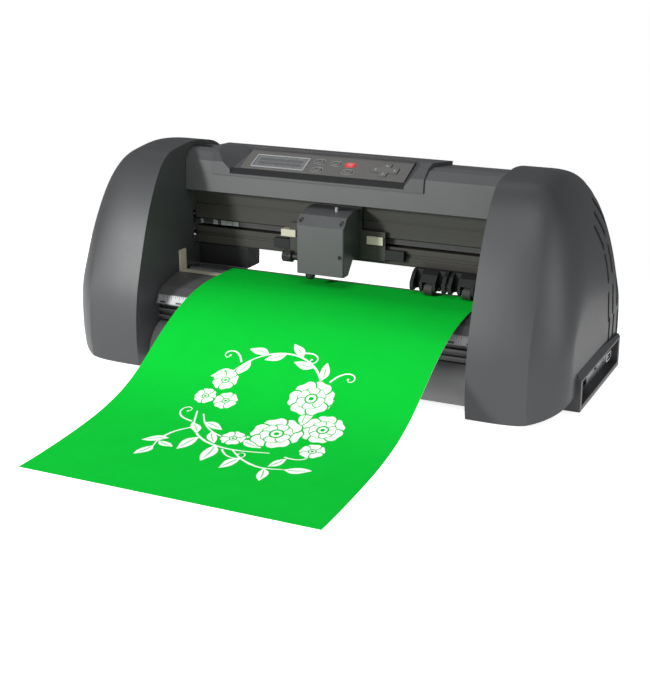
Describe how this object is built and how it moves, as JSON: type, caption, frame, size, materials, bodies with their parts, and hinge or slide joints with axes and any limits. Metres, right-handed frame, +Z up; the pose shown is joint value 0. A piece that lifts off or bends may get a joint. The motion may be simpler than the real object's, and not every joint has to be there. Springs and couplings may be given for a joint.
{
  "type": "vinyl cutter",
  "caption": "Desktop vinyl cutter: end caps joined by a beam and a sunk console, a knife carriage on the beam, feed and pinch rollers, and a green sheet draped to the table.",
  "frame": {"origin": "on the table, at the middle of the footprint of the machine and its draped sheet together", "axes": "+X along the beam to the right end cap, +Y from the front to the back, +Z up from the table"},
  "size_m": [0.576, 0.5451, 0.2311],
  "materials": {
    "charcoal_plastic": "satin",
    "cover_plastic": "satin",
    "console_plastic": "gloss",
    "black_plastic": "matte",
    "steel_sheet": "brushed",
    "dark_steel": "satin",
    "bright_steel": "polished",
    "grit_steel": "matte",
    "aluminium": "satin",
    "dark_aluminium": "anodised",
    "brass": "satin",
    "rubber": "matte",
    "belt_rubber": "matte",
    "beige_plastic": "matte",
    "grey_plastic": "matte",
    "panel_film": "satin",
    "display_glass": "polished",
    "red_key": "gloss",
    "light_key": "gloss",
    "circuit_board": "satin",
    "green_vinyl": "gloss"
  },
  "bodies": {
    "machine": {"base_pan": "dark_steel", "feet": "rubber", "left_side_plate": "steel_sheet", "right_side_plate": "steel_sheet", "left_cap": "charcoal_plastic", "right_cap": "charcoal_plastic", "top_cover": "cover_plastic", "rear_cover": "charcoal_plastic", "front_apron": "charcoal_plastic", "platen": "charcoal_plastic", "ruler_strip": "aluminium", "cutting_strip": "beige_plastic", "left_guard": "black_plastic", "console_bezel": "console_plastic", "keypad_panel": "panel_film", "lcd_window": "display_glass", "display_board": "circuit_board", "beam": "dark_aluminium", "drive_belt": "belt_rubber", "carriage_motor": "dark_steel", "feed_motor": "dark_steel", "roller_bearings": "bright_steel", "mainboard": "circuit_board", "power_supply": "steel_sheet", "socket_plate": "steel_sheet", "power_inlet": "black_plastic", "usb_socket": "bright_steel", "serial_socket": "bright_steel"},
    "carriage": {"carriage_plate": "dark_steel", "carriage_cover": "cover_plastic", "carriage_screws": "bright_steel", "guide_shoes": "grey_plastic", "belt_clamp": "beige_plastic", "lift_magnet": "bright_steel"},
    "tool": {"tool_slide": "black_plastic", "blade_holder": "aluminium"},
    "nose": {"blade_nose": "brass"},
    "knife": {"blade": "bright_steel"},
    "clamp": {"clamp_screw": "black_plastic"},
    "driver": {"drive_pulley": "aluminium"},
    "idler": {"idler_pulley": "aluminium"},
    "feed_roller": {"grit_roller": "grit_steel", "feed_gear": "grey_plastic"},
    "pinion": {"feed_pinion": "brass"},
    "lift_shaft": {"pinch_bar": "bright_steel", "lift_lever": "black_plastic"},
    "left_carrier": {"left_pinch_carrier": "grey_plastic"},
    "right_carrier": {"right_pinch_carrier": "grey_plastic"},
    "left_arm": {"left_pinch_arm": "charcoal_plastic"},
    "right_arm": {"right_pinch_arm": "charcoal_plastic"},
    "left_roller": {"left_pinch_roller": "rubber"},
    "right_roller": {"right_pinch_roller": "rubber"},
    "rocker": {"rocker_switch": "red_key"},
    "media": {"vinyl_sheet": "green_vinyl"},
    "menu_key_body": {"menu_key": "light_key"},
    "enter_key_body": {"enter_key": "light_key"},
    "stop_key_body": {"stop_key": "red_key"},
    "test_key_body": {"test_key": "light_key"},
    "pause_key_body": {"pause_key": "light_key"},
    "arrow_pad_body": {"arrow_pad": "light_key"}
  },
  "joints": [
    {"name": "carriage_slide", "type": "slide", "parent": "machine", "child": "carriage", "axis": [1, 0, 0], "range_m": [-0.125, 0.165]},
    {"name": "driver_spin", "type": "hinge", "parent": "machine", "child": "driver", "pos_m": [-0.218, 0.1635, 0.136], "axis": [0, 0, 1], "continuous": true},
    {"name": "idler_spin", "type": "hinge", "parent": "machine", "child": "idler", "pos_m": [0.218, 0.1635, 0.136], "axis": [0, 0, 1], "continuous": true},
    {"name": "tool_lift", "type": "slide", "parent": "carriage", "child": "tool", "axis": [0, 0, 1], "range_m": [-0.0055, 0], "stiffness_N_per_m": 150, "springref_m": 0.004},
    {"name": "nose_turn", "type": "hinge", "parent": "tool", "child": "nose", "pos_m": [-0.026, 0.1075, 0.101], "axis": [0, 0, 1], "range_deg": [-180, 180]},
    {"name": "knife_swivel", "type": "hinge", "parent": "tool", "child": "knife", "pos_m": [-0.026, 0.1075, 0.101], "axis": [0, 0, 1], "continuous": true},
    {"name": "clamp_turn", "type": "hinge", "parent": "tool", "child": "clamp", "pos_m": [-0.053, 0.1075, 0.119], "axis": [1, 0, 0], "range_deg": [-180, 180]},
    {"name": "feed_roller_spin", "type": "hinge", "parent": "machine", "child": "feed_roller", "pos_m": [0, 0.1255, 0.0797], "axis": [1, 0, 0], "continuous": true},
    {"name": "pinion_spin", "type": "hinge", "parent": "machine", "child": "pinion", "pos_m": [-0.204, 0.13958, 0.05532], "axis": [1, 0, 0], "continuous": true},
    {"name": "left_carrier_slide", "type": "slide", "parent": "machine", "child": "left_carrier", "axis": [1, 0, 0], "range_m": [-0.21, 0.001]},
    {"name": "right_carrier_slide", "type": "slide", "parent": "machine", "child": "right_carrier", "axis": [1, 0, 0], "range_m": [-0.001, 0.016]},
    {"name": "left_arm_tilt", "type": "hinge", "parent": "left_carrier", "child": "left_arm", "pos_m": [0.107, 0.1645, 0.119], "axis": [1, 0, 0], "range_deg": [-5, 0]},
    {"name": "right_arm_tilt", "type": "hinge", "parent": "right_carrier", "child": "right_arm", "pos_m": [0.15, 0.1645, 0.119], "axis": [1, 0, 0], "range_deg": [-5, 0]},
    {"name": "left_roller_spin", "type": "hinge", "parent": "left_arm", "child": "left_roller", "pos_m": [0.107, 0.1255, 0.0963], "axis": [1, 0, 0], "continuous": true},
    {"name": "right_roller_spin", "type": "hinge", "parent": "right_arm", "child": "right_roller", "pos_m": [0.15, 0.1255, 0.0963], "axis": [1, 0, 0], "continuous": true},
    {"name": "lever_turn", "type": "hinge", "parent": "machine", "child": "lift_shaft", "pos_m": [-0.248, 0.1645, 0.119], "axis": [1, 0, 0], "range_deg": [0, 40]},
    {"name": "menu_key_press", "type": "slide", "parent": "machine", "child": "menu_key_body", "axis": [0, 0.4226, -0.9063], "range_m": [0, 0.0006], "stiffness_N_per_m": 400, "springref_m": -0.002},
    {"name": "enter_key_press", "type": "slide", "parent": "machine", "child": "enter_key_body", "axis": [0, 0.4226, -0.9063], "range_m": [0, 0.0006], "stiffness_N_per_m": 400, "springref_m": -0.002},
    {"name": "stop_key_press", "type": "slide", "parent": "machine", "child": "stop_key_body", "axis": [0, 0.4226, -0.9063], "range_m": [0, 0.0006], "stiffness_N_per_m": 400, "springref_m": -0.002},
    {"name": "test_key_press", "type": "slide", "parent": "machine", "child": "test_key_body", "axis": [0, 0.4226, -0.9063], "range_m": [0, 0.0006], "stiffness_N_per_m": 400, "springref_m": -0.002},
    {"name": "pause_key_press", "type": "slide", "parent": "machine", "child": "pause_key_body", "axis": [0, 0.4226, -0.9063], "range_m": [0, 0.0006], "stiffness_N_per_m": 400, "springref_m": -0.002},
    {"name": "arrow_pad_press", "type": "slide", "parent": "machine", "child": "arrow_pad_body", "axis": [0, 0.4226, -0.9063], "range_m": [0, 0.0006], "stiffness_N_per_m": 400, "springref_m": -0.002},
    {"name": "rocker_tilt", "type": "hinge", "parent": "machine", "child": "rocker", "pos_m": [0.276, 0.0885, 0.022], "axis": [0, 1, 0], "range_deg": [-14, 0]},
    {"name": "media_slide", "type": "slide", "parent": "machine", "child": "media", "axis": [0, -1, 0], "range_m": [0, 0.15]}
  ],
  "couplings": [
    {"joint": "driver_spin", "follows": "carriage_slide", "rad_per_m": 100},
    {"joint": "idler_spin", "follows": "carriage_slide", "rad_per_m": 100},
    {"joint": "pinion_spin", "follows": "feed_roller_spin", "ratio": -2.5},
    {"joint": "left_roller_spin", "follows": "feed_roller_spin", "ratio": -1.0667},
    {"joint": "right_roller_spin", "follows": "feed_roller_spin", "ratio": -1.0667},
    {"joint": "left_arm_tilt", "follows": "lever_turn", "ratio": -0.125},
    {"joint": "right_arm_tilt", "follows": "lever_turn", "ratio": -0.125}
  ]
}
